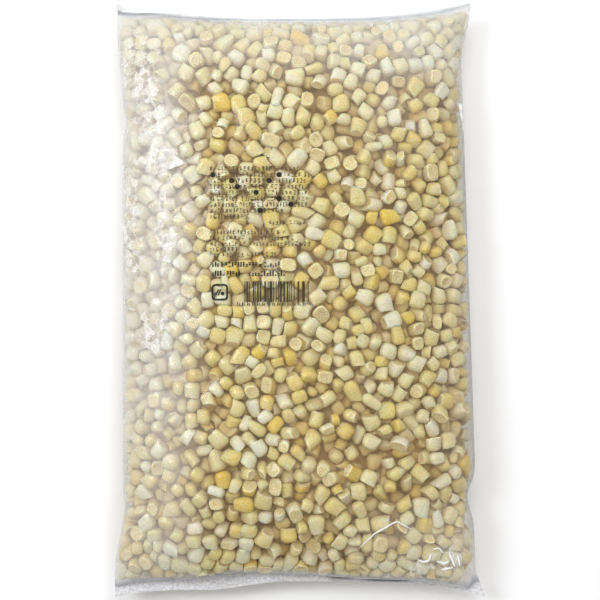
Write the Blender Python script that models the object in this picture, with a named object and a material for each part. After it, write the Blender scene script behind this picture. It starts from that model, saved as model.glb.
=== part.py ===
"""A pillow bag of frozen sweetcorn kernels, lying on its back.

The bag is a flat tube of clear film, filled with loose kernels and welded shut across both
ends. It is modelled as one closed solid: a rounded pillow with a flat underside, which thins
out into a welded fin at each end and into four empty corners of film. Width runs along X,
length along Y with the bag's top at +Y, and the bag rests on Z = 0, with the origin under the
middle of its box. Units are metres.
"""

import math

import bmesh
import bpy
from mathutils import Vector, noise

# The filled bag, measured over the pillow.
FILLED_HEIGHT = 0.0400
LEFT_SIDE = 0.0872
RIGHT_SIDE = 0.0829
RIGHT_SIDE_SLANT = 0.034  # the right side leans out towards the bottom by this much a metre

# Both ends are drawn in at their middle, and run out to a point at each corner.
TOP_END = 0.1386
BOTTOM_END = 0.1386
CORNER_REACH = 0.0078
CORNER_SHARPNESS = 2.2

# The welded fins, with the film thickened so that they are sturdy enough for a solid.
TOP_FIN = 0.0035
BOTTOM_FIN = 0.0055
BOTTOM_FIN_PROUD = 0.0030
FIN_THICKNESS = 0.0011
FIN_HEIGHT = 0.0135

# How the pillow rises from its ends and its sides.
END_RISE = 0.066
END_ROUNDNESS = 2.3
SIDE_HEIGHT = 0.0155
TOP_ROUNDNESS = 2.45
UNDERSIDE_ROUNDNESS = 3.4
CORNER_ROUNDNESS = 1.75
FLAT_SINK = 0.0022  # how far the round underside is pressed flat by its own weight

# Unevenness of the surface: kernels pushed into low mounds, and film gathered at the welds.
MOUND_DEPTH = 0.0016
MOUND_LENGTH = 0.034
GATHER_DEPTH = 0.0017
GATHER_REACH = 0.024
GATHERS = 7

ACROSS = 26  # strips over the top, and as many under it
ALONG = 60  # strips from end to end


def smooth_step(value):
    """0 below 0, 1 above 1, and an even rise between them."""
    value = min(max(value, 0.0), 1.0)
    return value * value * (3 - 2 * value)


def dent(place, centre, reach):
    """1 at the centre, fading out over about twice the reach."""
    return math.exp(-(((place - centre) / reach) ** 2))


def left_edge(y):
    """The left side of the film: nearly straight, with a pinch, and loose film at both ends."""
    x = -LEFT_SIDE
    x -= 0.0030 * smooth_step((y - 0.096) / 0.040)
    x -= 0.0042 * smooth_step((-0.102 - y) / 0.034)
    x += 0.0018 * dent(y, 0.087, 0.006)
    return x + 0.0010 * dent(y, -0.101, 0.006)


def right_edge(y):
    """The right side of the film, slanting out downwards to a deep crease above its corner."""
    x = RIGHT_SIDE - RIGHT_SIDE_SLANT * y
    x += 0.0056 * smooth_step((y - 0.116) / 0.030)
    x += 0.0030 * smooth_step((-0.118 - y) / 0.028)
    return x - 0.0042 * dent(y, -0.096, 0.008)


def top_edge(across):
    """The end of the film at the bag's top, for -1 at its left corner to 1 at its right one."""
    return TOP_END + CORNER_REACH * abs(across) ** CORNER_SHARPNESS


def bottom_edge(across):
    """The other end of the film, whose fin lies flat on the left and is turned under beyond."""
    proud = BOTTOM_FIN_PROUD * dent(across, -0.42, 0.26)
    return -BOTTOM_END - proud - CORNER_REACH * abs(across) ** CORNER_SHARPNESS


def end_rise(y, across):
    """How full the bag is at this distance from its welds: 0 on a fin, 1 along the middle."""
    inside = min(top_edge(across) - TOP_FIN - y, y - bottom_edge(across) - BOTTOM_FIN)
    gap = 1 - min(max(inside / END_RISE, 0.0), 1.0)
    return (1 - gap**END_ROUNDNESS) ** (1 / END_ROUNDNESS)


def mounds(x, y):
    """The low mounds that the kernels settle into, from -1 to 1."""
    broad = noise.noise(Vector((x, y, 0.31)) / MOUND_LENGTH)
    fine = noise.noise(Vector((x, y, 0.77)) / (0.4 * MOUND_LENGTH))
    return broad + 0.45 * fine


def gathers(y, across):
    """The puckers that run from each weld into the pillow, from -1 to 1."""
    inside = min(top_edge(across) - y, y - bottom_edge(across))
    phase = 0.9 * math.sin(2.3 * across) + (0.6 if y > 0 else 2.1)
    return math.sin(GATHERS * math.pi * across + phase) * math.exp(-inside / GATHER_REACH)


def surface_point(row, step):
    """A point of the skin: row goes from the bottom end to the top one, step goes round."""
    angle = math.pi * step / ACROSS
    roundness_there = TOP_ROUNDNESS if step <= ACROSS else UNDERSIDE_ROUNDNESS
    cosine, sine = math.cos(angle), abs(math.sin(angle))

    share = row / ALONG
    share = 0.5 - 0.5 * math.cos(math.pi * (0.08 + 0.84 * share)) / math.cos(0.08 * math.pi)
    across = math.copysign(abs(cosine) ** (2 / roundness_there), cosine)
    y = bottom_edge(across) + (top_edge(across) - bottom_edge(across)) * share

    # Towards the ends the round side flattens into a sharp edge of two films.
    fullness = end_rise(y, across)
    roundness = CORNER_ROUNDNESS + (roundness_there - CORNER_ROUNDNESS) * smooth_step(fullness)
    across = math.copysign(abs(cosine) ** (2 / roundness), cosine)
    swell = sine ** (2 / roundness)
    left, right = left_edge(y), right_edge(y)
    x = 0.5 * (left + right) + 0.5 * (right - left) * across

    middle = FIN_HEIGHT + (SIDE_HEIGHT - FIN_HEIGHT) * fullness
    film = 0.5 * FIN_THICKNESS * (sine ** 0.5)
    uneven = MOUND_DEPTH * mounds(x, y) * fullness * swell
    pucker = GATHER_DEPTH * gathers(y, across) * swell
    if step <= ACROSS:
        z = middle + film + (FILLED_HEIGHT - middle) * fullness * swell + uneven + pucker
    else:
        z = middle - film - (middle + FLAT_SINK) * fullness * swell + pucker
    return Vector((x, y, max(z, 0.0)))


def build_bag_mesh():
    """Joins the rings of points into one closed skin, with a narrow strip over each end, and
    centres it over the origin."""
    shell = bmesh.new()
    around = 2 * ACROSS
    rings = []
    for row in range(ALONG + 1):
        rings.append([shell.verts.new(surface_point(row, step)) for step in range(around)])
    for lower, upper in zip(rings, rings[1:]):
        for step in range(around):
            following = (step + 1) % around
            shell.faces.new((lower[step], lower[following], upper[following], upper[step]))
    for ring in (rings[0], rings[-1]):
        for step in range(ACROSS):
            corners = [ring[step], ring[step + 1], ring[-step - 1], ring[-step % around]]
            shell.faces.new(list(dict.fromkeys(corners)))
    for axis in (0, 1):
        places = [vertex.co[axis] for vertex in shell.verts]
        middle = 0.5 * (min(places) + max(places))
        for vertex in shell.verts:
            vertex.co[axis] -= middle
    bmesh.ops.triangulate(shell, faces=shell.faces[:])
    bmesh.ops.recalc_face_normals(shell, faces=shell.faces[:])
    mesh = bpy.data.meshes.new("filled_bag")
    shell.to_mesh(mesh)
    shell.free()
    mesh.shade_smooth()
    mesh.set_sharp_from_angle(angle=math.radians(50))
    return mesh


def film_over_corn():
    """Clear glossy film, with the pale yellow of the corn that shows through it."""
    material = bpy.data.materials.new("film_over_corn")
    material.use_nodes = True
    shader = material.node_tree.nodes["Principled BSDF"]
    shader.inputs["Base Color"].default_value = (0.78, 0.66, 0.40, 1.0)
    shader.inputs["Roughness"].default_value = 0.22
    shader.inputs["Metallic"].default_value = 0.0
    return material


def main():
    for old in list(bpy.data.objects):
        bpy.data.objects.remove(old)
    bag = bpy.data.objects.new("filled_bag", build_bag_mesh())
    bag.data.materials.append(film_over_corn())
    bpy.context.scene.collection.objects.link(bag)


main()
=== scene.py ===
import math

import bpy
import numpy as np
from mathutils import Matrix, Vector
from mathutils.bvhtree import BVHTree


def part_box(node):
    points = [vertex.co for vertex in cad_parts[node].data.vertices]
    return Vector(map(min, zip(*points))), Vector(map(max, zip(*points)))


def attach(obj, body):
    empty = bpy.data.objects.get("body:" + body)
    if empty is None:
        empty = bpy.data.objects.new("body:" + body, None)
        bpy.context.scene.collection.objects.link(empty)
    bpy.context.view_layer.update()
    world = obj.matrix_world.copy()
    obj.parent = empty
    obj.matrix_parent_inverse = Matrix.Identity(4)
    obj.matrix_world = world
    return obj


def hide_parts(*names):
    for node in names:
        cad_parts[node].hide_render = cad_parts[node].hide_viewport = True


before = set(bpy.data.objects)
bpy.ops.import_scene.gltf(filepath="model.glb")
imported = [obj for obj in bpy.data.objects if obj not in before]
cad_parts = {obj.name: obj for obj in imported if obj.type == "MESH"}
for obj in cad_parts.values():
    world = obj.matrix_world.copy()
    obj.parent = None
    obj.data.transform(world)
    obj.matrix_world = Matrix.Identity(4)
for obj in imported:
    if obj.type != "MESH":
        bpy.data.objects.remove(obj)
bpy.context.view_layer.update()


# The pouch's form. The real bag is a flat tube of clear film, filled with loose frozen corn and
# welded shut across both ends. Lying down, it is a pillow with a flat underside, drawn in at
# the middle of its ends, with loose film at its corners. Every piece below is placed on it.

FILLED_HEIGHT = 0.0400
LEFT_SIDE = 0.0872
RIGHT_SIDE = 0.0829
RIGHT_SIDE_SLANT = 0.034
END = 0.1386
CORNER_REACH = 0.0078
CORNER_SHARPNESS = 2.2
TOP_FIN = 0.0013
BOTTOM_FIN = 0.0052
BOTTOM_FIN_TUCKED = 0.0038
BOTTOM_RIGHT_EAR = 0.0028
BOTTOM_LEFT_PROUD = 0.0043
TOP_LEFT_FOLD = 0.0036
FIN_HEIGHT = 0.0135
SIDE_HEIGHT = 0.0155
END_RISE = 0.066
END_ROUNDNESS = 2.3
TOP_ROUNDNESS = 2.45
UNDERSIDE_ROUNDNESS = 3.4
CORNER_ROUNDNESS = 4.0
FLAT_SINK = 0.0022
LEFT_TOP_FLARE = 0.0030
LEFT_BOTTOM_FLARE = 0.0042
LEFT_UPPER_PINCH = 0.0018
LEFT_LOWER_PINCH = 0.0010
RIGHT_TOP_FLARE = 0.0056
RIGHT_LOWER_TUCK = 0.0014
RIGHT_BOTTOM_FLARE = 0.0044
RIGHT_LOWER_PINCH = 0.0042
FOLDED_FILM = 0.0002  # between the upper and the under skin, where they lie together


def smooth_step(value):
    value = np.clip(value, 0.0, 1.0)
    return value * value * (3 - 2 * value)


def fade(value, start, run):
    """0 before start, and 1 from run past it. A negative run goes the other way."""
    return smooth_step((value - start) / run)


def dent(place, centre, reach):
    return np.exp(-(((place - centre) / reach) ** 2))


def left_edge(y):
    """The left side's x: it flares out towards both ends, and is pinched in before them."""
    x = -LEFT_SIDE - LEFT_TOP_FLARE * fade(y, 0.096, 0.040)
    x = x - LEFT_BOTTOM_FLARE * fade(y, -0.102, -0.034)
    return x + LEFT_UPPER_PINCH * dent(y, 0.087, 0.006) + LEFT_LOWER_PINCH * dent(y, -0.101, 0.006)


def right_edge(y):
    x = RIGHT_SIDE - RIGHT_SIDE_SLANT * y + RIGHT_TOP_FLARE * fade(y, 0.116, 0.030)
    x = x - RIGHT_LOWER_TUCK * fade(y, -0.094, -0.012)
    x = x + RIGHT_BOTTOM_FLARE * fade(y, -0.131, -0.0156)
    return x - RIGHT_LOWER_PINCH * dent(y, -0.096, 0.008)


def top_edge(across):
    folded = TOP_LEFT_FOLD * fade(across, -0.6, -0.4)
    return END + CORNER_REACH * np.abs(across) ** CORNER_SHARPNESS - folded


def bottom_edge(across):
    """Left of the middle the weld stands proud, right of it only its corner does."""
    left = BOTTOM_LEFT_PROUD * smooth_step(-across / 0.45)
    left = left + (CORNER_REACH - BOTTOM_LEFT_PROUD) * np.abs(across) ** 6
    right = CORNER_REACH * np.abs(across) ** 3.2
    return -END - np.where(across < 0, left, right)


def bottom_fin(across):
    """The weld's width: right of the middle most of it is tucked under the bag."""
    tucked = fade(across, -0.20, 0.45) * fade(across, 0.97, -0.14)
    ear = BOTTOM_RIGHT_EAR * fade(across, 0.88, 0.10)
    return BOTTOM_FIN - BOTTOM_FIN_TUCKED * tucked + ear


def end_gap(y, across):
    """The distance inwards from the nearer weld's inner line, below 0 on a fin."""
    top = top_edge(across) - TOP_FIN - y
    return np.minimum(top, y - bottom_edge(across) - bottom_fin(across))


def fullness_at(y, across):
    gap = 1 - np.clip(end_gap(y, across) / END_RISE, 0.0, 1.0)
    return (1 - gap**END_ROUNDNESS) ** (1 / END_ROUNDNESS)


def pouch_skin(turn, share):
    """Points of the skin and how full the bag is there. turn is 0 to 1 over the top from the
    right side to the left, and 1 to 2 back under it. share is 0 to 1 from bottom to top."""
    above = turn <= 1
    cosine, sine = np.cos(math.pi * turn), np.abs(np.sin(math.pi * turn))
    side = np.sign(cosine)
    round_there = np.where(above, TOP_ROUNDNESS, UNDERSIDE_ROUNDNESS)
    across = side * np.abs(cosine) ** (2 / round_there)
    y = bottom_edge(across) + (top_edge(across) - bottom_edge(across)) * share
    full = fullness_at(y, across)
    roundness = CORNER_ROUNDNESS + (round_there - CORNER_ROUNDNESS) * smooth_step(full)
    across = side * np.abs(cosine) ** (2 / roundness)
    swell = sine ** (2 / roundness)
    left, right = left_edge(y), right_edge(y)
    x = 0.5 * (left + right) + 0.5 * (right - left) * across
    middle = FIN_HEIGHT + (SIDE_HEIGHT - FIN_HEIGHT) * full
    half = 0.5 * FOLDED_FILM * sine**0.5
    rise = middle + half + (FILLED_HEIGHT - middle) * full * swell
    fall = middle - half - (middle + FLAT_SINK) * full * swell
    z = np.where(above, rise, np.maximum(fall, 0.0))
    return np.stack([x, y, z], axis=-1), full


def tube_faces(rows, columns):
    """The faces of a grid of points whose columns close into a ring."""
    index = np.arange(rows * columns).reshape(rows, columns)
    onward = np.roll(index, -1, axis=1)
    return np.stack([index[:-1], index[1:], onward[1:], onward[:-1]], axis=-1).reshape(-1, 4)


# The form is centred, across and along, on the frame's own box.
low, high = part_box("filled_bag")
turns, shares = np.meshgrid(np.linspace(0, 2, 400, endpoint=False), np.linspace(0, 1, 400))
corners = pouch_skin(turns, shares)[0].reshape(-1, 3)
shift = 0.5 * (np.array(low) + np.array(high)) - 0.5 * (corners.min(0) + corners.max(0))
shift[2] = 0.0


# The sweetcorn. About 1 kg of frozen kernels cut from the cob: blocky wedges with a domed crown
# and a flat cut base, in several sizes. They are grown from small seeds until they jam inside
# the bag, so each one leans on its neighbours and on the film as poured kernels do.

KINDS = {
    # name: share of all, (width, thickness, length) in metres, squareness, taper, dome
    "kernels_plump": (0.26, (0.0076, 0.0067, 0.0074), 2.8, 0.10, 0.42),
    "kernels_wedge": (0.26, (0.0079, 0.0062, 0.0081), 3.3, 0.22, 0.34),
    "kernels_pearl": (0.13, (0.0064, 0.0060, 0.0062), 2.3, 0.10, 0.50),
    "kernels_slim": (0.10, (0.0064, 0.0052, 0.0085), 2.6, 0.18, 0.38),
    "kernels_squat": (0.14, (0.0081, 0.0067, 0.0058), 3.0, 0.14, 0.36),
    "kernels_broken": (0.11, (0.0073, 0.0058, 0.0048), 3.0, 0.05, 0.25),
}
KERNELS = 4350
GROWING = 180
SETTLING = 150
DRIFT = 0.00004  # how far each step carries kernels near the bag's ends towards its corners
SHELL = 0.0125  # kernels deeper than this under the film are left to the core
SEED_DEPTH = 0.0035  # the least depth at which a kernel starts
EMPTY_RIGHT, EMPTY_BELOW = 0.079, -0.134  # the lower right corner, which holds no kernels
TIGHT_SLACK, LOOSE_SLACK, LOW_SLACK, WIDE_SLACK = 0.0002, 0.0004, 0.0007, 0.0012
FIRST_GROWTH, LATER_GROWTH = 0.55, 0.45
BALL_SHARE = 0.76  # a ball's width as a share of its kernel's least width
NEIGHBOURS_WITHIN = 0.0071
NEIGHBOURS_EVERY = 8
PUSH, TURN, CROWDING = 1.25, 0.9, 0.75  # how strongly touching balls move and turn a kernel

rng = np.random.default_rng(11)

turns, shares = np.meshgrid(np.linspace(0, 2, 260, endpoint=False), np.linspace(0, 1, 300))
skin_points = pouch_skin(turns, shares)[0] + shift
skin_tree = BVHTree.FromPolygons(
    skin_points.reshape(-1, 3).tolist(), tube_faces(*turns.shape).tolist()
)

DEPTH_CELL = 0.003
depth_low = np.array(low) - 2 * DEPTH_CELL
depth_size = np.ceil((np.array(high) - np.array(low)) / DEPTH_CELL).astype(int) + 5
depth = np.empty(depth_size)
for cell in np.ndindex(*depth_size):
    place = Vector(depth_low + DEPTH_CELL * np.array(cell))
    nearest, normal, _, distance = skin_tree.find_nearest(place)
    depth[cell] = -math.copysign(distance, (place - nearest).dot(normal))
depth_field = np.stack([depth, *np.gradient(depth, DEPTH_CELL)], axis=-1).reshape(-1, 4)


def depth_at(points):
    """How far inside the skin each point lies, and the direction that leads further in."""
    place = np.clip((points - depth_low) / DEPTH_CELL, 0, depth_size - 1.001)
    cell = place.astype(int)
    part = place - cell
    steps = np.array([depth_size[1] * depth_size[2], depth_size[2], 1])
    base = cell @ steps
    found = 0
    for corner in range(8):
        bits = np.array([corner >> 2, corner >> 1 & 1, corner & 1])
        weight = np.where(bits, part, 1 - part).prod(axis=1)
        found = found + weight[:, None] * depth_field[base + bits @ steps]
    inward = found[:, 1:]
    return found[:, 0], inward / np.maximum(np.linalg.norm(inward, axis=1), 1e-9)[:, None]


def looseness_at(points):
    """1 where the film hangs clear of the kernels, 0 where it is drawn tight over them."""
    x, y, z = points.T
    off = x - 0.5 * (left_edge(y) + right_edge(y))
    side = fade(np.abs(off), 0.071, 0.009)
    end = fade(end_gap(y, off / LEFT_SIDE), 0.016, -0.010)
    left = fade(x, -0.046, -0.030) * fade(y, -0.075, 0.05)
    right = fade(x, 0.058, 0.022) * fade(y, 0.120, -0.06)
    part = 0.75 * left * fade(z, 0.012, 0.010)
    part = np.maximum(part, 0.6 * right * fade(z, 0.012, 0.010))
    return np.maximum(np.maximum(side, end), part)


def slack_at(points):
    """How far the kernels stay off the skin: least over the crown of the bag and under it."""
    x, y, z = points.T
    off = np.abs(x - 0.5 * (left_edge(y) + right_edge(y)))
    low_side = fade(off, 0.074, 0.008) * fade(z, 0.014, -0.004)
    wide = fade(x, 0.060, 0.015) * fade(y, 0.050, 0.03)
    wide = wide * fade(y, 0.118, -0.02)
    slack = TIGHT_SLACK + LOOSE_SLACK * looseness_at(points)
    return slack + LOW_SLACK * low_side + WIDE_SLACK * wide


kind_names = list(KINDS)
kind_of = rng.choice(len(KINDS), KERNELS, p=[KINDS[name][0] for name in kind_names])
size = np.array([KINDS[name][1] for name in kind_names])[kind_of]
size = size * rng.normal(1, 0.07, (KERNELS, 1)) * rng.normal(1, 0.06, (KERNELS, 3))
size = size * rng.choice([1, 0.8], (KERNELS, 1), p=[0.92, 0.08])

# Each kernel is eight balls, one in each corner of its box.
ball_radius = 0.5 * size.min(axis=1) * BALL_SHARE
ball_signs = np.array([[x, y, z] for x in (-1, 1) for y in (-1, 1) for z in (-1, 1)])
ball_offsets = ball_signs * (0.5 * size - ball_radius[:, None])[:, None, :]
ball_kernel = np.repeat(np.arange(KERNELS), 8)

spots = rng.uniform(low, high, (40 * KERNELS, 3))
spots = spots[depth_at(spots)[0] > SEED_DEPTH][:KERNELS]
turn_of = rng.normal(size=(KERNELS, 4))
turn_of /= np.linalg.norm(turn_of, axis=1)[:, None]


def rotations(quaternions):
    w, x, y, z = quaternions.T
    return np.stack(
        [
            1 - 2 * (y * y + z * z), 2 * (x * y - w * z), 2 * (x * z + w * y),
            2 * (x * y + w * z), 1 - 2 * (x * x + z * z), 2 * (y * z - w * x),
            2 * (x * z - w * y), 2 * (y * z + w * x), 1 - 2 * (x * x + y * y),
        ],
        axis=1,
    ).reshape(-1, 3, 3)


def near_pairs(points, reach):
    """Pairs of balls of different kernels whose centres are closer than reach."""
    cells = np.floor((points - points.min(0)) / reach).astype(np.int64) + 1
    wide = cells.max(0) + 2
    steps = np.array([wide[1] * wide[2], wide[2], 1])
    key = cells @ steps
    order = np.argsort(key, kind="stable")
    ordered = key[order]
    halves = [(x, y, z) for x in (-1, 0, 1) for y in (-1, 0, 1) for z in (-1, 0, 1)]
    halves = [half for half in halves if half > (0, 0, 0)] + [(0, 0, 0)]
    first, second = [], []
    for half in halves:
        wanted = key + np.array(half) @ steps
        start = np.searchsorted(ordered, wanted, "left")
        count = np.searchsorted(ordered, wanted, "right") - start
        one = np.repeat(np.arange(len(points)), count)
        other = np.arange(len(one)) - np.repeat(np.cumsum(count) - count, count)
        other = order[other + np.repeat(start, count)]
        keep = ball_kernel[one] != ball_kernel[other]
        if half == (0, 0, 0):
            keep &= one < other
        one, other = one[keep], other[keep]
        apart = points[one] - points[other]
        close = (apart * apart).sum(1) < reach * reach
        first.append(one[close])
        second.append(other[close])
    return np.concatenate(first), np.concatenate(second)


for step in range(GROWING + SETTLING):
    growth = min(1.0, FIRST_GROWTH + LATER_GROWTH * (step / GROWING) ** 0.7)
    arms = np.einsum("kij,kbj->kbi", rotations(turn_of), growth * ball_offsets)
    balls = (spots[:, None, :] + arms).reshape(-1, 3)
    radius = growth * ball_radius[ball_kernel]
    if step % NEIGHBOURS_EVERY == 0:
        one, other = near_pairs(balls, NEIGHBOURS_WITHIN)
    apart = balls[one] - balls[other]
    distance = np.sqrt((apart * apart).sum(1)) + 1e-9
    overlap = radius[one] + radius[other] - distance
    touch = overlap > 0
    a, b = one[touch], other[touch]
    push = (0.5 * overlap[touch] / distance[touch])[:, None] * apart[touch]
    moves = np.stack(
        [
            np.bincount(a, push[:, axis], len(balls)) - np.bincount(b, push[:, axis], len(balls))
            for axis in range(3)
        ],
        axis=1,
    )
    touches = np.bincount(a, minlength=len(balls)) + np.bincount(b, minlength=len(balls))
    deep, inward = depth_at(balls)
    out = np.maximum(radius + slack_at(balls) - deep, 0)
    moves += out[:, None] * inward
    past = np.maximum(0.8 * radius - end_gap(balls[:, 1], balls[:, 0] / LEFT_SIDE), 0)
    moves[:, 1] -= np.sign(balls[:, 1]) * past
    if step < GROWING:
        near_end = fade(np.abs(spots[:, 1]), 0.095, 0.025)
        spots[:, 1] += DRIFT * near_end * np.sign(spots[:, 1])
        spots[:, 0] += DRIFT * near_end * np.clip(spots[:, 0] / 0.05, -1, 1)
    touches += (out > 0) | (past > 0)
    moves = moves.reshape(KERNELS, 8, 3)
    count = touches.reshape(KERNELS, 8).sum(1)
    spots += PUSH * moves.sum(1) / np.maximum(count, 1)[:, None] ** CROWDING
    turning = np.cross(arms, moves).sum(1)
    inertia = (arms**2).sum((1, 2)) / 8 * np.maximum(count, 1) ** CROWDING
    turning = TURN * turning / inertia[:, None]
    w, v = turn_of[:, :1], turn_of[:, 1:]
    turn_of = turn_of + 0.5 * np.hstack(
        [-(turning * v).sum(1)[:, None], w * turning + np.cross(turning, v)]
    )
    turn_of /= np.linalg.norm(turn_of, axis=1)[:, None]


SEGMENTS = 11
DOME_ANGLES = np.radians([24, 46, 66, 84])
DOME_SHARPNESS = 2.4


def kernel_rings(kind, count):
    """Each ring's radius and height as shares of the kernel's own, crown first, its place from
    crown (0) to cut edge (1), and how much of the cut face it is."""
    _, _, _, taper, dome = KINDS[kind]
    taper = np.clip(rng.normal(taper, 0.07, count), 0.0, 0.5)[:, None]
    dome = np.clip(rng.normal(dome, 0.06, count), 0.12, 0.6)[:, None]
    hollow = rng.uniform(0.02, 0.09, count)[:, None]
    if kind == "kernels_broken":
        hollow = rng.uniform(0.10, 0.42, count)[:, None]
    curve = np.sin(DOME_ANGLES) ** (2 / DOME_SHARPNESS)
    drop = 1 - np.cos(DOME_ANGLES) ** (2 / DOME_SHARPNESS)
    downs = np.array([0.36, 0.68, 0.92])
    end = 1 - taper
    radius = np.hstack(
        [np.tile(curve, (count, 1)), 1 - taper * downs**1.4, 0.97 * end, 0.87 * end,
         0.68 * end, 0.34 * end]
    )
    height = np.hstack(
        [1 - 2 * dome * drop, 1 - 2 * dome - (1.95 - 2 * dome) * downs,
         np.full((count, 1), -0.955), np.full((count, 1), -1.0), -1 + 0.5 * hollow,
         -1 + 1.8 * hollow]
    )
    along = np.concatenate([0.12 * np.arange(1, 5), 0.5 + 0.5 * downs, [1, 1, 1, 1]])
    cut = np.array([0, 0, 0, 0, 0, 0, 0, 0.15, 0.55, 0.85, 1.0])
    return radius, height, along, cut, hollow


def kernel_points(kind, count, size):
    """The points of count kernels about their own middles: a pole, rings, and a pole."""
    radius, height, along, cut, hollow = kernel_rings(kind, count)
    rings = radius.shape[1]
    squareness = np.clip(rng.normal(KINDS[kind][2], 0.4, (count, 1, 1)), 2.05, 5.0)
    angle = 2 * math.pi * (np.arange(SEGMENTS) + 0.5) / SEGMENTS
    cosine, sine = np.cos(angle), np.sin(angle)
    flat_x = np.sign(cosine) * np.abs(cosine) ** (2 / squareness)
    flat_y = np.sign(sine) * np.abs(sine) ** (2 / squareness)
    bulge = 1
    for waves, depth_there in ((1, 0.05), (2, 0.05), (3, 0.035)):
        phase = rng.uniform(0, 2 * math.pi, (count, 1, 1))
        climb = rng.uniform(-1.5, 1.5, (count, 1, 1)) * height[:, :, None]
        strength = rng.normal(0, depth_there, (count, 1, 1))
        bulge = bulge + strength * np.sin(waves * angle + phase + climb)
    reach = radius[:, :, None] * bulge
    x = 0.5 * reach * flat_x
    y = 0.5 * reach * flat_y
    z = np.broadcast_to(0.5 * height[:, :, None], x.shape).copy()
    slant = np.clip((along[None, :, None] - 0.45) / 0.5, 0, 1) ** 2
    lean_x = rng.normal(0, 0.22, (count, 1, 1))
    lean_y = rng.normal(0, 0.22, (count, 1, 1))
    z += slant * (lean_x * x + lean_y * y)
    ragged = np.where(cut[None, :, None] > 0, rng.normal(0, 0.012, x.shape), 0)
    z += ragged
    lean = rng.normal(0, 0.07, (count, 1, 2))
    crown = np.zeros((count, 1, 3))
    crown[:, 0, 2] = 0.5 - 0.03 * rng.random(count)
    base = np.zeros((count, 1, 3))
    base[:, 0, 2] = -0.5 + 1.0 * hollow[:, 0]
    points = np.concatenate([crown, np.stack([x, y, z], -1).reshape(count, -1, 3), base], 1)
    points[:, :, :2] += lean * points[:, :, 2:]
    points *= size[:, None, :]
    along = np.concatenate([[0], np.repeat(along, SEGMENTS), [1]])
    cut = np.concatenate([[0], np.repeat(cut, SEGMENTS), [1]])
    return points, along, cut, rings


def ring_faces(rings):
    """The faces over a pole, rings of SEGMENTS points and a second pole."""
    around = np.arange(SEGMENTS)
    onward = (around + 1) % SEGMENTS
    faces = [np.stack([np.zeros_like(around), 1 + around, 1 + onward], 1).tolist()]
    for ring in range(rings - 1):
        upper, lower = 1 + ring * SEGMENTS, 1 + (ring + 1) * SEGMENTS
        faces.append(np.stack([upper + around, lower + around, lower + onward, upper + onward], 1))
    last = 1 + (rings - 1) * SEGMENTS
    faces.append(np.stack([last + onward, last + around, np.full(SEGMENTS, last + SEGMENTS)], 1))
    return faces


def joined_mesh(name, points, faces, values):
    """One mesh of many copies of a set of faces, quick to make. values are per point."""
    count, each = points.shape[:2]
    corners = np.concatenate([np.array(part).ravel() for part in faces])
    sides = np.concatenate([np.full(len(part), len(part[0])) for part in faces])
    corners = (corners + each * np.arange(count)[:, None]).ravel()
    sides = np.tile(sides, count)
    mesh = bpy.data.meshes.new(name)
    mesh.vertices.add(count * each)
    mesh.vertices.foreach_set("co", points.astype(np.float32).ravel())
    mesh.loops.add(len(corners))
    mesh.loops.foreach_set("vertex_index", corners.astype(np.int32))
    mesh.polygons.add(len(sides))
    mesh.polygons.foreach_set("loop_start", (np.cumsum(sides) - sides).astype(np.int32))
    for title, value in values.items():
        layer = mesh.attributes.new(title, "FLOAT", "POINT")
        layer.data.foreach_set("value", np.asarray(value, np.float32).ravel())
    mesh.update(calc_edges=True)
    mesh.validate()
    mesh.shade_smooth()
    return mesh


class Wire:
    """A value inside a material: expressions of wires and numbers add Math nodes."""

    def __init__(self, tree, socket=None):
        self.tree, self.socket = tree, socket

    def node(self, kind, settings, values, output=0):
        """A new node: its settings first, then its sockets' values or links."""
        node = self.tree.nodes.new(kind)
        for name, value in settings.items():
            if name == "stops":
                while len(node.color_ramp.elements) < len(value):
                    node.color_ramp.elements.new(1.0)
                for stop, (place, colour) in zip(node.color_ramp.elements, value):
                    stop.position, stop.color = place, (*colour, 1)
            else:
                setattr(node, name, value)
        for name, value in values.items():
            if isinstance(value, Wire):
                self.tree.links.new(value.socket, node.inputs[name])
            else:
                node.inputs[name].default_value = value
        return Wire(self.tree, node.outputs[output])

    def maths(self, operation, first, second=0.0, clamp=False):
        settings = {"operation": operation, "use_clamp": clamp}
        return self.node("ShaderNodeMath", settings, {0: first, 1: second})

    def __add__(self, other):
        return self.maths("ADD", self, other)

    def __sub__(self, other):
        return self.maths("SUBTRACT", self, other)

    def __rsub__(self, other):
        return self.maths("SUBTRACT", other, self)

    def __mul__(self, other):
        return self.maths("MULTIPLY", self, other)

    def __truediv__(self, other):
        return self.maths("DIVIDE", self, other)

    def stored(self, name):
        """The value of this name that the mesh holds at its points."""
        return self.node("ShaderNodeAttribute", {"attribute_name": name}, {}, 2)

    def place(self):
        return self.node("ShaderNodeTexCoord", {}, {}, 3)

    def noise(self, place, scale, detail, output=0):
        values = {"Vector": place, "Scale": scale, "Detail": detail}
        return self.node("ShaderNodeTexNoise", {}, values, output)

    def clamped(self):
        return self.maths("ADD", self, 0.0, clamp=True)

    def mixed(self, first, second):
        """first where this is 0 and second where it is 1, for colours."""
        values = {"Factor": self, 6: first, 7: second}
        return self.node("ShaderNodeMix", {"data_type": "RGBA"}, values, 2)

    __radd__ = __add__
    __rmul__ = __mul__


def new_material(name):
    """A material with no nodes yet, and a wire to build on."""
    material = bpy.data.materials.new(name)
    material.use_nodes = True
    material.node_tree.nodes.clear()
    return material, Wire(material.node_tree)


def finish_material(wire, surface):
    output = wire.tree.nodes.new("ShaderNodeOutputMaterial")
    wire.tree.links.new(surface.socket, output.inputs["Surface"])


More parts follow.
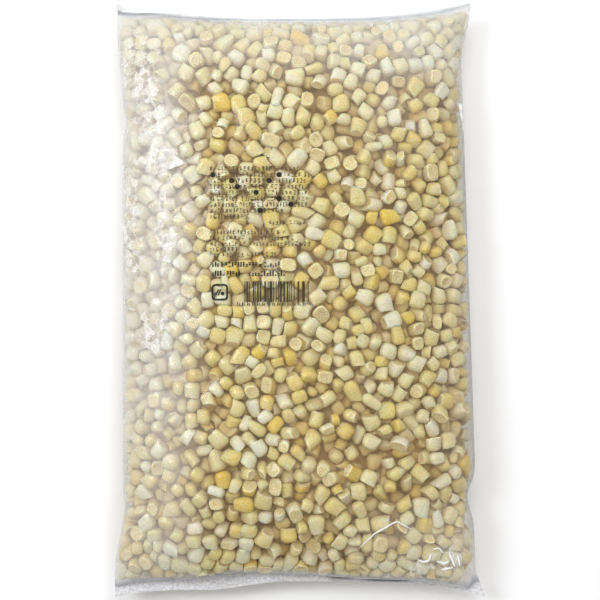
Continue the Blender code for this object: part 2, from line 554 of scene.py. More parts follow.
def corn_material():
    """Kernel skin from white cream to deep yellow, yellowest at the crown and pale towards the
    cob, with a starchy cut face inside a thin pale rim, and a painted warm brown shade on the
    kernels that lie deeper."""
    material, wire = new_material("sweetcorn")
    along = wire.stored("along")
    cut = wire.stored("cut")
    place = wire.place()
    broad = wire.noise(place, 320.0, 4.0)
    grain = wire.noise(place, 1500.0, 3.0)
    stops = [
        (0.00, (0.82, 0.81, 0.66)),
        (0.18, (0.80, 0.76, 0.51)),
        (0.50, (0.76, 0.67, 0.30)),
        (0.78, (0.78, 0.62, 0.17)),
        (1.00, (0.80, 0.60, 0.11)),
    ]
    depth_of_yellow = wire.stored("tone") + 0.45 * (broad - 0.5) + 0.20 * (0.4 - along)
    skin = wire.node("ShaderNodeValToRGB", {"stops": stops}, {"Fac": depth_of_yellow.clamped()})
    inside = ((grain - 0.3) * 2.5).clamped().mixed((0.71, 0.59, 0.29, 1), (0.85, 0.77, 0.46, 1))
    rim = (1 - ((cut - 0.30) * 4.0).clamped()) * (cut * 6.0).clamped()
    face = (cut * 3.0).clamped().mixed(skin, inside)
    colour = (0.6 * rim).mixed(face, (0.92, 0.87, 0.66, 1))
    warmed = (0.16 * wire.stored("peach")).mixed(colour, (0.84, 0.57, 0.30, 1))
    pits = (0.45 * ((0.49 - grain) * 4.5).clamped()).mixed(warmed, (0.58, 0.38, 0.11, 1))
    frost = (0.45 * ((grain - 0.51) * 4.5).clamped()).mixed(pits, (0.97, 0.95, 0.84, 1))
    # Painted shade: kernels turn warm brown the deeper they lie under the film, for the shade of
    # the corn above them.
    shaded = (0.42 * wire.stored("sunk")).mixed(frost, (0.62, 0.36, 0.08, 1))
    height = grain * (0.4 + 0.4 * cut) + broad * 1.4
    bump = wire.node("ShaderNodeBump", {}, {"Height": height, "Strength": 0.5, "Distance": 0.0005})
    values = {
        "Base Color": shaded,
        "Roughness": 0.32 + 0.3 * cut,
        "Normal": bump,
        "Specular IOR Level": 0.5,
        "Subsurface Weight": 0.75,
        "Subsurface Radius": (1.0, 0.60, 0.24),
        "Subsurface Scale": 0.0026,
    }
    finish_material(wire, wire.node("ShaderNodeBsdfPrincipled", {}, values))
    return material


def link_piece(name, mesh, material):
    piece = bpy.data.objects.new(name, mesh)
    mesh.materials.append(material)
    bpy.context.scene.collection.objects.link(piece)
    return piece


FILM_UNDER_CORN = 0.0002

corn = corn_material()
closest = depth_at(balls)[0].reshape(KERNELS, 8).min(1)
held = end_gap(spots[:, 1], spots[:, 0] / LEFT_SIDE) > 0.001
held &= (spots[:, 1] > EMPTY_BELOW) | (spots[:, 0] < EMPTY_RIGHT)
shown = held & (closest < SHELL) & (closest > 0.5 * ball_radius)
# Painted light: kernels along the left side and the top end are made paler, for the glare that
# falls on them there.
glare_paleness = fade(spots[:, 0], -0.030, -0.045) * fade(spots[:, 1], -0.10, 0.08)
glare_paleness = np.maximum(glare_paleness, 0.35 * fade(spots[:, 1], 0.085, 0.035))
deeper = (rng.random(KERNELS) < 0.05) * 0.36 - (rng.random(KERNELS) < 0.09) * 0.28
tones = rng.normal(0.43, 0.19, KERNELS) + deeper - 0.42 * glare_paleness
tones = np.clip(tones, 0, 1)
peaches = np.clip(rng.normal(0.3, 0.35, KERNELS), 0, 1)
turned = rotations(turn_of)
kernel_pieces = []
for number, kind in enumerate(kind_names):
    chosen = np.flatnonzero(shown & (kind_of == number))
    points, along, cut, rings = kernel_points(kind, len(chosen), size[chosen])
    points = np.einsum("kij,kpj->kpi", turned[chosen], points) + spots[chosen][:, None]
    points[:, :, 2] = np.maximum(points[:, :, 2], FILM_UNDER_CORN)
    values = {
        "along": np.tile(along, len(chosen)),
        "cut": np.tile(cut, len(chosen)),
        "tone": np.repeat(tones[chosen], points.shape[1]),
        "peach": np.repeat(peaches[chosen], points.shape[1]),
        # painted shade: how deep each point lies, for the brown shade painted on deeper kernels
        "sunk": fade(depth_at(points.reshape(-1, 3))[0], 0.0014, 0.0055),
    }
    mesh = joined_mesh(kind, points, ring_faces(rings), values)
    piece = link_piece(kind, mesh, corn)
    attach(piece, "root")
    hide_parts("filled_bag")
    kernel_pieces.append(piece)


# The core. What lies deeper than two kernels is never seen apart, so the middle of the load is
# one lumpy body of packed corn whose dark warm colour is painted shade, for where little light gets
# down to it.

CORE_MIDDLE = np.array([0.0, 0.0, 0.018])
CORE_SHARES = np.array([0.87, 0.90, 0.56])  # of the bag's own width, length and height
CORE_LUMP = 0.0016


def core_material():
    material, wire = new_material("packed_corn")
    lumps = wire.node("ShaderNodeTexVoronoi", {}, {"Vector": wire.place(), "Scale": 130.0})
    shade = (lumps * 1.3).clamped()
    # Painted shade: the core's two browns are much darker than the kernels' own colour.
    colour = shade.mixed((0.62, 0.42, 0.17, 1), (0.30, 0.17, 0.06, 1))
    values = {"Base Color": colour, "Roughness": 0.6}
    finish_material(wire, wire.node("ShaderNodeBsdfPrincipled", {}, values))
    return material


core_turns, core_shares = np.meshgrid(
    np.linspace(0, 2, 180, endpoint=False), np.linspace(0.03, 0.97, 130)
)
core_skin = pouch_skin(core_turns, core_shares)[0] + shift
core_points = CORE_MIDDLE + CORE_SHARES * (core_skin - CORE_MIDDLE)
core_x, core_y = core_points[:, :, 0], core_points[:, :, 1]
lumps = np.sin(core_x * 780 + 2 * np.sin(core_y * 610))
lumps = lumps * np.sin(core_y * 720 + 2 * np.sin(core_x * 540))
core_points[:, :, 2] += CORE_LUMP * lumps
core_faces = tube_faces(*core_turns.shape)
core_mesh = joined_mesh("corn_core", core_points.reshape(1, -1, 3), [core_faces], {})
core = link_piece("corn_core", core_mesh, core_material())
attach(core, "root")
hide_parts("filled_bag")


# The film. One tube of clear plastic 0.07 mm thick, pressed down over the kernels by its own
# tension: it lies on their tops, dips a little between them, and stands off them where slack.

FILM_STEP_OVER = 0.00085
FILM_STEP_UNDER = 0.0018
FILM_STEP_ALONG = 0.00095
FILM_CLEARANCE = 0.00012
FILM_SAG = 0.000016
FILM_DEEPEST = 0.0022
GLARES = [
    # where the slack film's glare is painted: place across and along, and half its size each way
    (-0.064, 0.067, 0.008, 0.007),
    (-0.066, -0.015, 0.011, 0.012),
    (-0.074, 0.112, 0.010, 0.014),
    (-0.070, 0.095, 0.007, 0.020),
    (-0.079, 0.040, 0.005, 0.030),
    (-0.062, 0.030, 0.005, 0.022),
    (0.0790, 0.090, 0.0016, 0.008),
    (0.0740, -0.1275, 0.0090, 0.0080),
    (0.0570, -0.1310, 0.0060, 0.0050),
]
FILM_ROUNDS = 320
MIST_LEFT, MIST_TOP = 0.32, 0.22  # how milky the slack film is along the left and at the top
RIGHT_MISTS = [
    # how milky, and where each patch on the right starts and how soon it is full: across, along
    (0.06, 0.060, 0.018, 0.06, -0.05),
    (0.15, 0.015, 0.050, -0.090, -0.030),
    (0.07, 0.005, 0.040, 0.055, 0.035),
]
TOP_FOLD_SHADE = 0.40


def distance_along(path):
    return np.concatenate([[0], np.cumsum(np.linalg.norm(np.diff(path, axis=0), axis=1))])


def even_turns(first, last, spacing):
    """Turns round the middle of the bag that are evenly spaced along the film."""
    fine = np.linspace(first, last, 2000)
    run = distance_along(pouch_skin(fine, np.full_like(fine, 0.5))[0])
    count = int(run[-1] / spacing)
    return np.interp(np.arange(count) * run[-1] / count, run, fine)


film_turns = np.concatenate([even_turns(0, 1, FILM_STEP_OVER), even_turns(1, 2, FILM_STEP_UNDER)])
film_shares = np.linspace(0, 1, int(2 * END / FILM_STEP_ALONG))
turns, shares = np.meshgrid(film_turns, film_shares)
film_base, film_full = pouch_skin(turns, shares)
film_base = film_base + shift


def grid_normals(points):
    """Normals of a grid whose columns close into a ring."""
    around = np.roll(points, -1, axis=1) - np.roll(points, 1, axis=1)
    along = np.gradient(points, axis=0)
    normal = np.cross(along, around)
    return normal / np.maximum(np.linalg.norm(normal, axis=2), 1e-12)[:, :, None]


film_normal = grid_normals(film_base)
depsgraph = bpy.context.evaluated_depsgraph_get()
kernel_trees = [BVHTree.FromObject(piece, depsgraph) for piece in kernel_pieces]

OUTSIDE, FAR = 0.003, 0.012  # rays to the kernels start this far outside the skin, end this deep
LEAST_FULL = 0.02  # where the bag is flatter than this, the film keeps to its own skin
rows, columns = film_full.shape
obstacle = np.full(film_full.shape, -FAR)
for row, column in np.argwhere(film_full > LEAST_FULL):
    normal = Vector(film_normal[row, column])
    start = Vector(film_base[row, column]) + OUTSIDE * normal
    reach = FAR + OUTSIDE
    for tree in kernel_trees:
        found = tree.ray_cast(start, -normal, reach)[3]
        if found is not None:
            reach = found
    obstacle[row, column] = OUTSIDE - reach + FILM_CLEARANCE

slackness = looseness_at(film_base.reshape(-1, 3)).reshape(rows, columns)
least = -FILM_DEEPEST * (1 - slackness)
held_up = np.maximum(obstacle, least)
offset = np.maximum(held_up, 0.0)
for _ in range(FILM_ROUNDS):
    padded = np.pad(offset, ((1, 1), (0, 0)), mode="edge")
    mean = 0.25 * (padded[2:] + padded[:-2] + np.roll(offset, 1, 1) + np.roll(offset, -1, 1))
    offset = np.maximum(mean - FILM_SAG, held_up)
    offset[film_full <= LEAST_FULL] = 0.0
film_points = film_base + offset[:, :, None] * film_normal
film_points[:, :, 2] = np.maximum(film_points[:, :, 2], 0.0)
film_gap = offset - obstacle

film_faces = tube_faces(rows, columns)
film_x, film_y, film_z = film_base[:, :, 0], film_base[:, :, 1], film_base[:, :, 2]
film_inside = end_gap(film_y, np.cos(math.pi * turns))
film_off = film_x - 0.5 * (left_edge(film_y) + right_edge(film_y))
film_weld = smooth_step(-film_inside / 0.0006 + 0.5) * (film_y < 0)
film_above = film_z > 0.5 * SIDE_HEIGHT
film_mist = MIST_LEFT * fade(film_off, -0.038, -0.026)
film_mist *= 0.7 + 0.3 * fade(film_y, -0.10, 0.09)
film_mist += MIST_TOP * fade(film_y, 0.095, 0.035) * (1 - 3 * film_mist)
for milky, across, over, along, on in RIGHT_MISTS:
    film_mist += milky * fade(film_off, across, over) * fade(film_y, along, on)
film_mist *= film_above
film_end = fade(film_inside, 0.0050, -0.0050) * np.where(film_y < 0, 1.5, 1.0)
film_end *= 1 - 0.6 * fade(film_z, FIN_HEIGHT - 0.001, -0.003)
# Painted shade: a dark line along the bottom weld where it is tucked under, and a fainter one along
# the top weld's left part.
film_fold_shade = dent(film_inside, -0.0007 + 0.0003 * np.sin(film_off * 260), 0.0010) * (film_y < 0)
film_fold_shade *= fade(film_z, FIN_HEIGHT + 0.0028, -0.0014)
film_fold_shade *= 0.9 * (turns <= 1) * fade(film_off, 0.012, 0.008) * fade(film_off, 0.060, -0.01)
top_fold_shade = dent(film_inside, 0.0, 0.0010) * (film_y > 0) * fade(film_off, -0.02, -0.03)
film_fold_shade += TOP_FOLD_SHADE * top_fold_shade
# Painted shade: a faint brown band where the film turns steep along the sides, for the dark line
# and shade at the film's edge.
film_rim_shade = fade(np.abs(film_normal[:, :, 2]), 0.42, -0.35)
film_rim_shade *= fade(film_off, 0.070, 0.004) * fade(film_inside, 0.010, 0.020)
film_rim_shade *= 1 - 0.8 * dent(film_y, 0.108, 0.012)
# Painted glare: white patches where the slack film would catch the window's reflection.
film_glare = np.zeros_like(film_mist)
for glare_x, glare_y, glare_wide, glare_tall in GLARES:
    spot = dent(film_off, glare_x, glare_wide) * dent(film_y, glare_y, glare_tall)
    film_glare = np.maximum(film_glare, spot * film_above)
film_mesh = joined_mesh(
    "film",
    film_points.reshape(1, -1, 3),
    [film_faces],
    {"gap": 1000 * film_gap, "weld": film_weld, "slackness": slackness, "end": film_end,
     "mist": film_mist, "fold": film_fold_shade, "glare": film_glare, "rim": film_rim_shade},
)


def film_material():
    """Clear glossy film, milky where it hangs clear of the corn, and frosted by the welding bar.
    Painted glare is laid into its milky veil on the slack film, and painted shade over the gaps,
    along its steep sides and in its fold lines.
    """
    material, wire = new_material("clear_film")
    gap = wire.stored("gap")
    weld = wire.stored("weld")
    place = wire.place()
    end = wire.stored("end")
    loose = wire.stored("slackness")
    cloud = wire.noise(place, 90.0, 4.0)
    pebble = wire.noise(place, 900.0, 3.0)
    crinkle = wire.noise(place, 240.0, 3.0)
    height = crinkle * (0.2 + 0.6 * loose) + pebble * weld
    bump = wire.node("ShaderNodeBump", {}, {"Height": height, "Strength": 0.5, "Distance": 0.0005})
    haze = wire.stored("mist") * (0.3 + 1.4 * cloud)
    # Partly real haze, partly painted shade: over gaps where the film stands off the kernels a
    # milky veil is laid, coloured warm brown as the shade in the gaps.
    deep = 0.16 * ((gap - 1.0) * 0.8).clamped() * (1 - 0.7 * loose)
    cold = end * (0.06 + 0.34 * end * cloud) * (1 - 0.6 * weld)
    speckle = ((pebble - 0.35) * 3.0).clamped()
    glare = wire.stored("glare")
    wobble = wire.noise(place, 420.0, 4.0, 1)
    values = {0: wobble, 1: (0.0045, 0.0045, 0.0), 2: place}
    crumpled = wire.node("ShaderNodeVectorMath", {"operation": "MULTIPLY_ADD"}, values)
    values = {"Vector": crumpled, "Scale": 300.0}
    facets = wire.node("ShaderNodeTexVoronoi", {}, values, 1)
    facet = wire.node("ShaderNodeSeparateColor", {}, {0: facets})
    edges = wire.node("ShaderNodeTexVoronoi", {"feature": "DISTANCE_TO_EDGE"}, values)
    # Painted glare: white facets and bright crinkle lines laid into the milky veil as white paint.
    lit = ((facet + 0.55 * glare - 0.97) * 5.0).clamped()
    wrinkle_glints = (1 - edges * 14.0).clamped() * ((glare - 0.15) * 2.0).clamped()
    glare = lit * (0.12 + 0.36 * speckle) + 0.24 * wrinkle_glints
    veil = (haze + deep + cold + 0.72 * weld + glare).clamped()
    gap_shade_share = (deep / (veil + 0.001)).clamped()
    # painted shade: the veil turns brown where it lies over gaps
    pale = gap_shade_share.mixed((0.96, 0.95, 0.93, 1), (0.64, 0.46, 0.24, 1))
    chilled = (cold * 4.0).clamped().mixed(pale, (0.52, 0.56, 0.62, 1))
    pressed = speckle.mixed((0.58, 0.58, 0.60, 1), (0.90, 0.90, 0.91, 1))
    values = {
        "Base Color": weld.mixed(chilled, pressed),
        "Roughness": 0.8,
        "Specular IOR Level": 0.0,
        "Normal": bump,
    }
    milk = wire.node("ShaderNodeBsdfPrincipled", {}, values)
    clear = wire.node("ShaderNodeBsdfTransparent", {}, {"Color": (0.985, 0.99, 0.99, 1)})
    gloss = wire.node("ShaderNodeBsdfAnisotropic", {}, {"Roughness": 0.10, "Normal": bump})
    mirror = wire.node("ShaderNodeFresnel", {}, {"IOR": 1.5, "Normal": bump})
    # Painted shade: a dark brown laid along the steep sides of the film.
    sides = wire.node("ShaderNodeBsdfDiffuse", {}, {"Color": (0.20, 0.17, 0.10, 1)})
    # Painted shade: near-black paint for the fold lines.
    fold_shade_paint = wire.node("ShaderNodeBsdfDiffuse", {}, {"Color": (0.04, 0.045, 0.055, 1)})
    body = wire.node("ShaderNodeMixShader", {}, {0: veil, 1: clear, 2: milk})
    body = wire.node("ShaderNodeMixShader", {}, {0: 0.45 * wire.stored("rim"), 1: body, 2: sides})
    body = wire.node("ShaderNodeMixShader", {}, {0: wire.stored("fold"), 1: body, 2: fold_shade_paint})
    weaker = wire.maths("MINIMUM", mirror, 0.35)
    surface = wire.node("ShaderNodeMixShader", {}, {0: weaker, 1: body, 2: gloss})
    finish_material(wire, surface)
    return material


film = link_piece("film", film_mesh, film_material())
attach(film, "root")
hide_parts("filled_bag")


# The print. Ink rolled onto the film's upper side: rows of small marks with round bullets among
# them, two bolder rows, a rounded square emblem, and a block of stripes of many widths.

PRINT_LEFT = -0.0430
PRINT_TOP = 0.0625
ROW_PITCH = 0.00284
ROW_HALF = 0.0010
INK_LIFT = 0.00012
INK_STEP = 0.0006
BULLET_RADIUS = 0.00125
FINE_ROWS = [
    # rows down from the top of the print, and the stretch that each covers from its left
    (0.0, 0.000, 0.042), (1.0, 0.000, 0.048), (2.0, 0.000, 0.046), (3.0, 0.000, 0.048),
    (4.0, 0.000, 0.046), (5.0, 0.000, 0.046), (6.0, 0.000, 0.046), (7.0, 0.000, 0.034),
    (8.0, 0.000, 0.019), (9.1, 0.028, 0.046), (10.6, 0.000, 0.036), (11.6, 0.000, 0.039),
    (12.6, 0.000, 0.048), (13.5, 0.000, 0.013), (14.4, 0.000, 0.032),
]
BULLETS = [
    (1, 0.0014), (2, 0.0104), (3, 0.0132), (4, 0.0221), (2, 0.0283), (1, 0.0330),
    (5, 0.0330), (6, 0.0386), (7, 0.0240),
]
BOLD_ROWS = [(0.0170, 0.0011, 0.0335), (0.0127, 0.0011, 0.0142), (0.0127, 0.0185, 0.0358)]
BOLD_HALF = 0.0012
BOLD_WIDTHS = {"upright": 0.0007, "dashes": 0.0010, "dot": 0.0008}
FINE_DASH, FINE_UPRIGHT, BOLD_DASH = 0.00035, 0.00032, 0.0006  # strokes' widths
EMBLEM_STROKE, EMBLEM_SLANT, EMBLEM_DOT = 0.0009, 0.0006, 0.0009
TICK_PITCH, TICK_FOOT, TICK_WIDE, TICK_SLIM = 0.0024, 0.0018, 0.0005, 0.0004
EMBLEM_CENTRE, EMBLEM_HALF, EMBLEM_CORNER = (-0.0382, 0.0037), 0.0035, 0.0014
STRIPES_LEFT, STRIPES_RIGHT, STRIPES_TOP, STRIPES_BOTTOM = -0.0264, 0.0038, 0.0089, -0.0009

film_tree = BVHTree.FromPolygons(film_points.reshape(-1, 3).tolist(), film_faces.tolist())


def on_film(x, y, lift):
    """The point this far over the film's upper side."""
    hit = film_tree.ray_cast(Vector((x, y, 0.1)), Vector((0, 0, -1)))[0]
    return (x, y, hit.z + lift)


class Ink:
    """Flat shapes of ink, laid onto the film."""

    def __init__(self):
        self.points, self.faces = [], []

    def stroke(self, path, width):
        """A stroke of even width along a path of places."""
        path = np.array(path, float)
        run = distance_along(path)
        count = max(2, int(run[-1] / INK_STEP) + 2)
        places = np.linspace(0, run[-1], count)
        line = np.stack([np.interp(places, run, side) for side in path.T], axis=1)
        ahead = np.gradient(line, axis=0)
        ahead /= np.linalg.norm(ahead, axis=1)[:, None]
        beside = 0.5 * width * np.stack([-ahead[:, 1], ahead[:, 0]], 1)
        first = len(self.points)
        for left, right in zip(line + beside, line - beside):
            self.points += [on_film(*left, INK_LIFT), on_film(*right, INK_LIFT)]
        for number in range(count - 1):
            corner = first + 2 * number
            self.faces.append((corner + 1, corner + 3, corner + 2, corner))

    def disc(self, x, y, radius):
        first = len(self.points)
        self.points.append(on_film(x, y, INK_LIFT))
        for angle in np.radians(np.arange(0, 360, 24)):
            place = (x + radius * math.cos(angle), y + radius * math.sin(angle))
            self.points.append(on_film(*place, INK_LIFT))
        count = len(self.points) - first - 1
        for number in range(count):
            self.faces.append((first, first + 1 + number, first + 1 + (number + 1) % count))

    def piece(self, name, colour):
        mesh = bpy.data.meshes.new(name)
        mesh.from_pydata(self.points, [], self.faces)
        paint, wire = new_material(name)
        values = {"Base Color": colour, "Roughness": 0.45}
        finish_material(wire, wire.node("ShaderNodeBsdfPrincipled", {}, values))
        piece = link_piece(name, mesh, paint)
        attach(piece, "root")
        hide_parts("filled_bag")


fine_ink = Ink()
for row, start, stop in FINE_ROWS:
    y = PRINT_TOP - ROW_PITCH * row
    x = PRINT_LEFT + start
    while x < PRINT_LEFT + stop:
        wide = rng.uniform(0.0010, 0.0019)
        for height in rng.choice([-0.9, -0.3, 0.3, 0.9], rng.integers(2, 4), replace=False):
            over = x + rng.uniform(0, 0.3 * wide)
            level = y + height * ROW_HALF
            far = over + rng.uniform(0.4, 0.7) * wide
            fine_ink.stroke([(over, level), (far, level)], FINE_DASH)
        if rng.random() < 0.6:
            over = x + rng.uniform(0.1, 0.7) * wide
            half = 0.8 * ROW_HALF
            fine_ink.stroke([(over, y - half), (over, y + half)], FINE_UPRIGHT)
        x += wide + rng.choice([0.0003, 0.0012], p=[0.9, 0.1])
fine_ink.piece("print_rows", (0.07, 0.05, 0.025, 1))

bold_ink = Ink()
for row, across_row in BULLETS:
    bold_ink.disc(PRINT_LEFT + across_row, PRINT_TOP - ROW_PITCH * row, BULLET_RADIUS)
for y, start, stop in BOLD_ROWS:
    x = PRINT_LEFT + start
    while x < PRINT_LEFT + stop:
        shape = rng.choice(["upright", "dashes", "dot"], p=[0.55, 0.35, 0.10])
        wide = BOLD_WIDTHS[shape]
        if shape == "upright":
            top = y + rng.choice([0.4, 1.0]) * BOLD_HALF
            bold_ink.stroke([(x + 0.5 * wide, y - BOLD_HALF), (x + 0.5 * wide, top)], wide)
        elif shape == "dashes":
            for height in rng.choice([-0.8, -0.1, 0.6], 2, replace=False):
                level = y + height * BOLD_HALF
                bold_ink.stroke([(x, level), (x + wide, level)], BOLD_DASH)
        else:
            bold_ink.disc(x + 0.5 * wide, y - 0.7 * BOLD_HALF, 0.5 * wide)
        x += wide + rng.choice([0.00045, 0.0006, 0.0012], p=[0.5, 0.4, 0.1])
emblem_x, emblem_y = EMBLEM_CENTRE
straight = EMBLEM_HALF - EMBLEM_CORNER
square = []
for quarter, (side_x, side_y) in enumerate([(1, 1), (-1, 1), (-1, -1), (1, -1)]):
    middle_x, middle_y = emblem_x + side_x * straight, emblem_y + side_y * straight
    for angle in np.radians(np.arange(0, 91, 15)) + 0.5 * math.pi * quarter:
        reach_x, reach_y = EMBLEM_CORNER * math.cos(angle), EMBLEM_CORNER * math.sin(angle)
        square.append((middle_x + reach_x, middle_y + reach_y))
bold_ink.stroke(square + square[:1], EMBLEM_STROKE)
bold_ink.disc(emblem_x + 0.0013, emblem_y - 0.0006, EMBLEM_DOT)
for foot in (emblem_x - 0.0019, emblem_x - 0.0008):
    slope = [(foot, emblem_y - 0.0015), (foot + 0.0012, emblem_y + 0.0014)]
    bold_ink.stroke(slope, EMBLEM_SLANT)
bold_ink.piece("print_bold", (0.012, 0.012, 0.010, 1))

stripe_ink = Ink()
x = STRIPES_LEFT
while x < STRIPES_RIGHT:
    wide = rng.choice([0.0004, 0.0008, 0.0013], p=[0.45, 0.33, 0.22])
    stripe_ink.stroke([(x + 0.5 * wide, STRIPES_BOTTOM), (x + 0.5 * wide, STRIPES_TOP)], wide)
    x += wide + rng.choice([0.00045, 0.0008, 0.0014], p=[0.4, 0.35, 0.25])
tick_foot = STRIPES_BOTTOM - TICK_FOOT
for x in np.arange(STRIPES_LEFT - 0.0033, STRIPES_RIGHT - 0.0015, TICK_PITCH):
    beside = x + 0.0009
    stripe_ink.stroke([(x, tick_foot), (x, STRIPES_BOTTOM - 0.0001)], TICK_WIDE)
    stripe_ink.stroke([(beside, tick_foot), (beside, STRIPES_BOTTOM - 0.0006)], TICK_SLIM)
stripe_ink.piece("print_stripes", (0.045, 0.042, 0.022, 1))


# The flaps. Three small triangles of the bag's own clear film, doubled and slightly crumpled,
# that have turned over or stand up: the tip of the top left corner, a facet of slack film below
# it painted white as glare, and a white patch on the right edge, a painted highlight for a glint.

# each flap's corners, across and along the bag
TIP = np.array([(-0.0900, 0.1462), (-0.0850, 0.1430), (-0.0908, 0.1422)])
FACET = np.array([(-0.0650, 0.0738), (-0.0548, 0.0652), (-0.0690, 0.0602)])
EDGE_GLINT = np.array([(0.0768, 0.0957), (0.0799, 0.0950), (0.0794, 0.0818)])
FLAP_ROWS, FLAP_CRUMPLE, FLAP_THICKNESS = 7, 0.0003, 0.0003


def creased_film_and_glint_material(colour, clear_streaks=0.0):
    material, wire = new_material("creased_film_and_glints")
    streaks = wire.noise(wire.place(), 260.0, 4.0)
    clear = clear_streaks * ((streaks - 0.35) * 3.5).clamped()
    values = {"Base Color": colour, "Roughness": 0.15, "Alpha": 1 - clear}
    finish_material(wire, wire.node("ShaderNodeBsdfPrincipled", {}, values))
    return material


def small_flap(name, corners, height_at, colour, clear_streaks=0.0):
    """A triangle of slack film, lying at height_at of its own places."""
    points, faces = [], []
    for down in range(FLAP_ROWS + 1):
        for along in range(down + 1):
            shares = np.array([FLAP_ROWS - down, down - along, along]) / FLAP_ROWS
            x, y = shares @ corners
            points.append((x, y, height_at(x, y) + rng.uniform(-FLAP_CRUMPLE, FLAP_CRUMPLE)))
            if down < FLAP_ROWS:
                below = len(points) + down
                faces.append((len(points) - 1, below, below + 1))
                if along < down:
                    faces.append((len(points) - 1, below + 1, len(points)))
    mesh = bpy.data.meshes.new(name)
    mesh.from_pydata(points, [], faces)
    flap = link_piece(name, mesh, creased_film_and_glint_material(colour, clear_streaks))
    flap.modifiers.new("two layers of film", "SOLIDIFY").thickness = FLAP_THICKNESS
    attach(flap, "root")
    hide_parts("filled_bag")


small_flap("folded_tip", TIP, lambda x, y: FIN_HEIGHT + 0.0006, (0.72, 0.70, 0.71, 1))
# Painted glare: a near-white facet of slack film, for the window's reflection on it.
small_flap(
    "raised_facet_glare", FACET, lambda x, y: on_film(x, y, 0.0005)[2], (0.90, 0.88, 0.84, 1), 0.95
)
# Painted highlight: a white patch on the right edge where the film glints.
small_flap(
    "edge_glint", EDGE_GLINT, lambda x, y: on_film(x, y, 0.0004)[2], (0.95, 0.95, 0.95, 1), 0.6
)


# The creases. Where the slack film is pinched it stands up in fine hard folds, each a doubled ridge
# a few tenths of a millimetre wide, painted white all over: a painted highlight for the glint along
# its top.

CREASES = [
    # half the ridge's width, and the places it runs through
    (0.00034, [(0.0285, -0.1190), (0.0356, -0.1120), (0.0442, -0.1071), (0.0466, -0.1062),
               (0.0538, -0.1102)]),
    (0.00048, [(0.0568, -0.1252), (0.0596, -0.1266), (0.0622, -0.1258), (0.0632, -0.1222)]),
    (0.00040, [(0.0640, -0.1203), (0.0668, -0.1196), (0.0690, -0.1220)]),
    (0.00060, [(0.0720, -0.1222), (0.0735, -0.1256), (0.0750, -0.1290)]),
    (0.00045, [(0.0763, -0.1235), (0.0775, -0.1288)]),
    (0.00040, [(0.0684, -0.1306), (0.0741, -0.1298)]),
    (0.00050, [(0.0660, -0.1262), (0.0700, -0.1275), (0.0722, -0.1262)]),
]
CREASE_STEP = 0.0007
CREASE_SIDES = 5
LITTLE_FURTHER = 1e-4

crease_points, crease_faces = [], []
for crease_radius, path in CREASES:
    path = np.array(path)
    run = distance_along(path)
    count = int(run[-1] / CREASE_STEP) + 2
    first = len(crease_points)
    for number, place in enumerate(np.linspace(0, run[-1], count)):
        x, y = np.interp(place, run, path[:, 0]), np.interp(place, run, path[:, 1])
        slim = math.sin(math.pi * (number + 0.5) / count) ** 0.35
        middle = on_film(x, y, 0.0001)
        if number < count - 1:  # the last ring faces the way of the ring before it
            ahead_x = np.interp(place + LITTLE_FURTHER, run, path[:, 0]) - x
            ahead_y = np.interp(place + LITTLE_FURTHER, run, path[:, 1]) - y
        reach = crease_radius * slim / math.hypot(ahead_x, ahead_y)
        for angle in 2 * math.pi * np.arange(CREASE_SIDES) / CREASE_SIDES:
            out = reach * math.cos(angle)
            up = crease_radius * math.sin(angle)
            crease_points.append(
                (middle[0] - ahead_y * out, middle[1] + ahead_x * out, middle[2] + up)
            )
    for number in range(count - 1):
        for edge in range(CREASE_SIDES):
            a = first + CREASE_SIDES * number + edge
            b = first + CREASE_SIDES * number + (edge + 1) % CREASE_SIDES
            crease_faces.append((a, b, b + CREASE_SIDES, a + CREASE_SIDES))
    last = first + CREASE_SIDES * (count - 1)
    crease_faces.append(tuple(range(first + CREASE_SIDES - 1, first - 1, -1)))
    crease_faces.append(tuple(range(last, last + CREASE_SIDES)))
crease_mesh = bpy.data.meshes.new("film_crease_glints")
crease_mesh.from_pydata(crease_points, [], crease_faces)
# Painted highlight: the creases are solid white to stand for their glints.
creases = link_piece("film_crease_glints", crease_mesh, creased_film_and_glint_material((0.98, 0.98, 0.98, 1)))
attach(creases, "root")
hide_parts("filled_bag")


# The studio. A pale floor under the bag, four soft lamps above it, of which only one shows as a
# reflection in the film, and a camera that looks straight down.

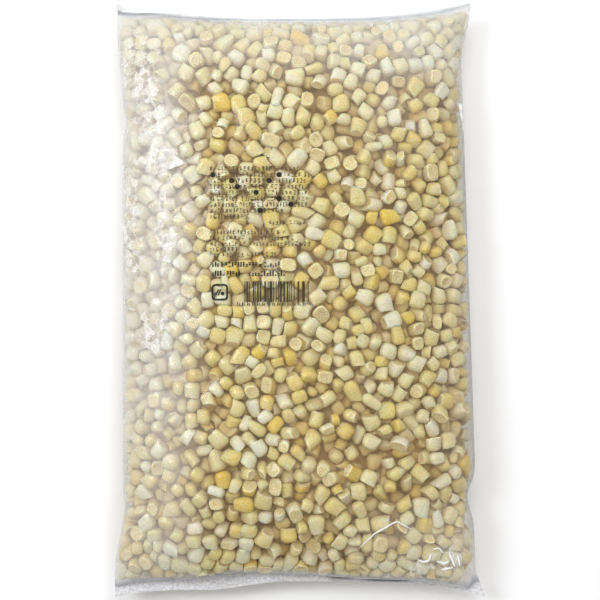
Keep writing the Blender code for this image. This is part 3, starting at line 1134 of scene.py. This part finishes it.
FRAME_WIDTH = 0.2932
LENS = 90.0
SENSOR = 36.0
CAMERA_AIM = 0.020  # the height at which FRAME_WIDTH is measured
DAYLIGHT = (0.97, 1.0, 1.05)
LAMPS = {
    # name: place, what it is aimed at, width, height, watts, whether it glints in the film
    "window": ((-0.80, 0.30, 0.95), (-0.06, 0.10, 0.03), 0.50, 0.60, 5.25, False),
    "glint": ((-0.74, 0.28, 1.00), (-0.06, 0.10, 0.03), 0.40, 0.50, 2.6, True),
    "ceiling": ((0.15, 0.50, 0.78), (0.02, 0.10, 0), 0.7, 0.7, 5.15, False),
    "fill": ((0.36, -0.80, 0.85), (0, -0.05, 0), 0.7, 0.7, 2.4, False),
}

floor_mesh = bpy.data.meshes.new("floor")
floor_mesh.from_pydata([(-3, -3, 0), (3, -3, 0), (3, 3, 0), (-3, 3, 0)], [], [(0, 1, 2, 3)])
floor_paint, wire = new_material("floor_paint")
values = {"Base Color": (0.98, 0.98, 0.98, 1), "Roughness": 0.6}
finish_material(wire, wire.node("ShaderNodeBsdfPrincipled", {}, values))
floor = link_piece("floor", floor_mesh, floor_paint)
floor.location.z = -0.0004

camera_data = bpy.data.cameras.new("camera")
camera_data.lens, camera_data.sensor_width = LENS, SENSOR
camera = bpy.data.objects.new("camera", camera_data)
camera.location = (0, 0, CAMERA_AIM + FRAME_WIDTH * LENS / SENSOR)
bpy.context.scene.collection.objects.link(camera)
bpy.context.scene.camera = camera

for name, (place, target, width, height, watts, glints) in LAMPS.items():
    data = bpy.data.lights.new(name, "AREA")
    data.shape, data.size, data.size_y = "RECTANGLE", width, height
    data.energy, data.color = watts, DAYLIGHT
    lamp = bpy.data.objects.new(name, data)
    lamp.location = place
    lamp.visible_glossy = glints
    lamp.rotation_euler = (Vector(target) - Vector(place)).to_track_quat("-Z", "Y").to_euler()
    bpy.context.scene.collection.objects.link(lamp)

world = bpy.data.worlds.new("studio")
bpy.context.scene.world = world
world.use_nodes = True
sky = world.node_tree.nodes["Background"].inputs
sky["Color"].default_value = (1.0, 0.93, 0.84, 1)
sky["Strength"].default_value = 0.33
bpy.context.scene.view_settings.view_transform = "Standard"
